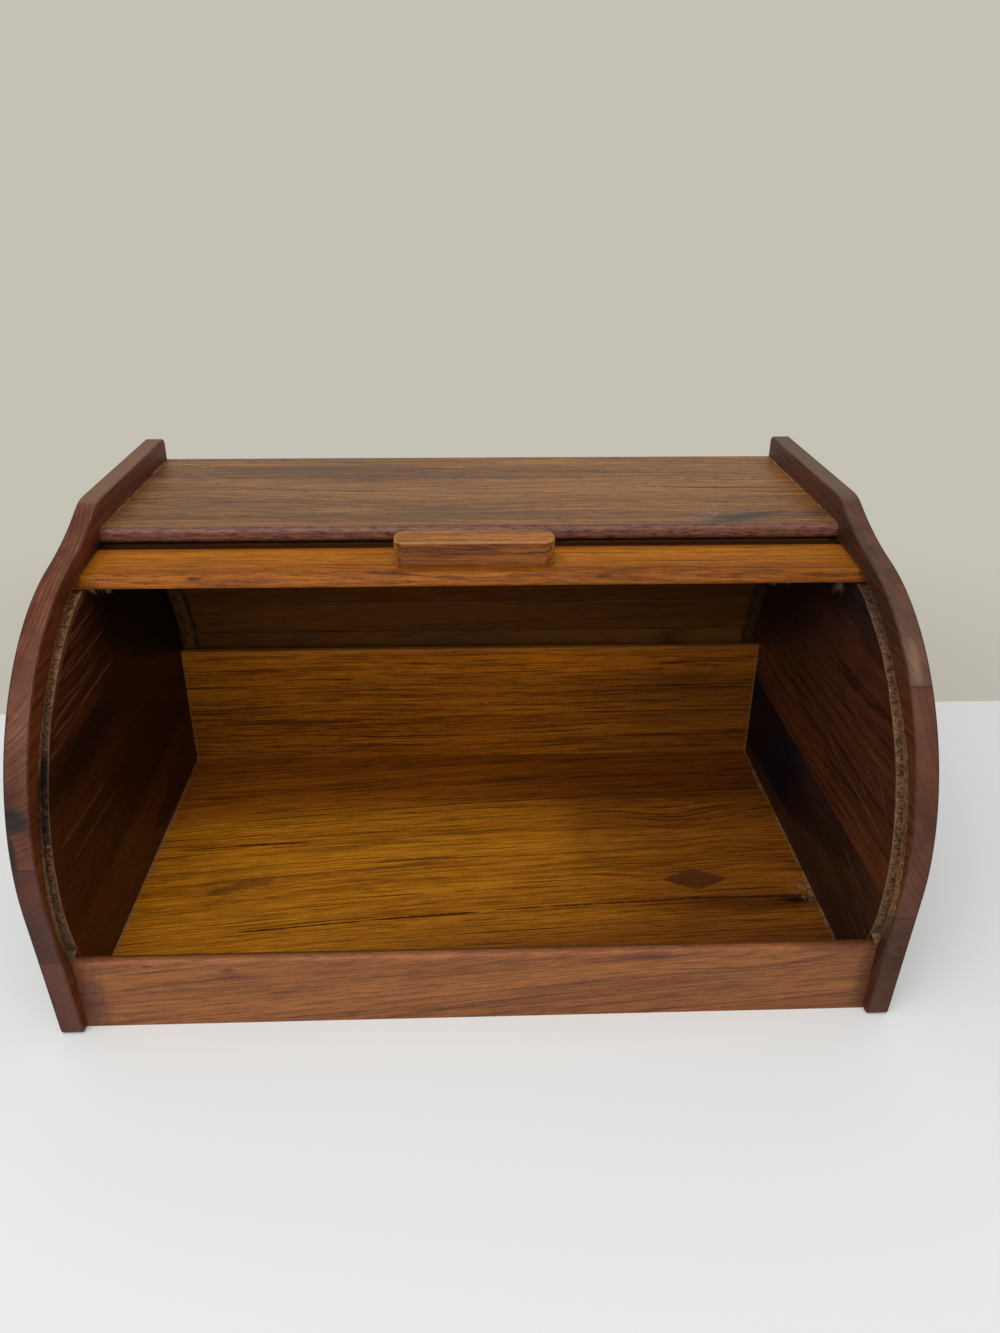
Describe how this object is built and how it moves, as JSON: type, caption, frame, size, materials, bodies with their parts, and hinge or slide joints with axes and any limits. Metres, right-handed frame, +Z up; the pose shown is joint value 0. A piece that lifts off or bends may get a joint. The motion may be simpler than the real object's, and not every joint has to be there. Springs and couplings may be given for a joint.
{
  "type": "roll-top bread box",
  "caption": "Hardwood bread box with bowed side boards, a shelf top with raised gallery ends and a slatted tambour door that rolls back under the top.",
  "frame": {"origin": "middle of the footprint, on the surface the box stands on", "axes": "+X across the front to the right, +Y from the open front to the back, +Z up"},
  "size_m": [0.4, 0.2754, 0.2195],
  "materials": {
    "side_teak": "oiled dark red-brown hardwood, grain running front to back",
    "top_teak": "oiled and slightly greyed hardwood, fine scratches",
    "floor_teak": "oiled golden brown hardwood with dark grain lines",
    "patch_teak": "oiled darker hardwood",
    "back_teak": "oiled brown hardwood",
    "rail_teak": "oiled red-brown hardwood with a soft rounded edge",
    "lead_teak": "oiled orange-brown hardwood, satin",
    "slat_teak": "oiled brown hardwood, satin",
    "handle_teak": "oiled brown hardwood, worn satin edges",
    "dowel_beech": "plain pale hardwood, unfinished",
    "cotton_tape": "aged plain-woven cotton tape, glued and frayed at its ends",
    "screw_steel": "plain zinc-grey steel"
  },
  "bodies": {
    "carcass": {"left_side_lower_board": "side_teak", "left_side_middle_board": "side_teak", "left_side_upper_board": "side_teak", "right_side_lower_board": "side_teak", "right_side_middle_board": "side_teak", "right_side_upper_board": "side_teak", "top_board": "top_teak", "floor_board": "floor_teak", "floor_patch": "patch_teak", "inner_back_board": "floor_teak", "back_panel": "back_teak", "front_rail": "rail_teak", "top_board_dowels": "dowel_beech", "rail_dowels": "dowel_beech", "inner_back_dowels": "dowel_beech"},
    "tambour": {"lead_slat": "lead_teak", "slat_01": "slat_teak", "slat_02": "slat_teak", "slat_03": "slat_teak", "slat_04": "slat_teak", "slat_05": "slat_teak", "slat_06": "slat_teak", "slat_07": "slat_teak", "slat_08": "slat_teak", "left_tape": "cotton_tape", "right_tape": "cotton_tape", "handle": "handle_teak", "handle_screws": "screw_steel"}
  },
  "joints": [
    {"name": "tambour_roll", "type": "hinge", "parent": "carcass", "child": "tambour", "pos_m": [0, -0.0046, 0.0722], "axis": [1, 0, 0], "range_deg": [0, 91.9]}
  ]
}
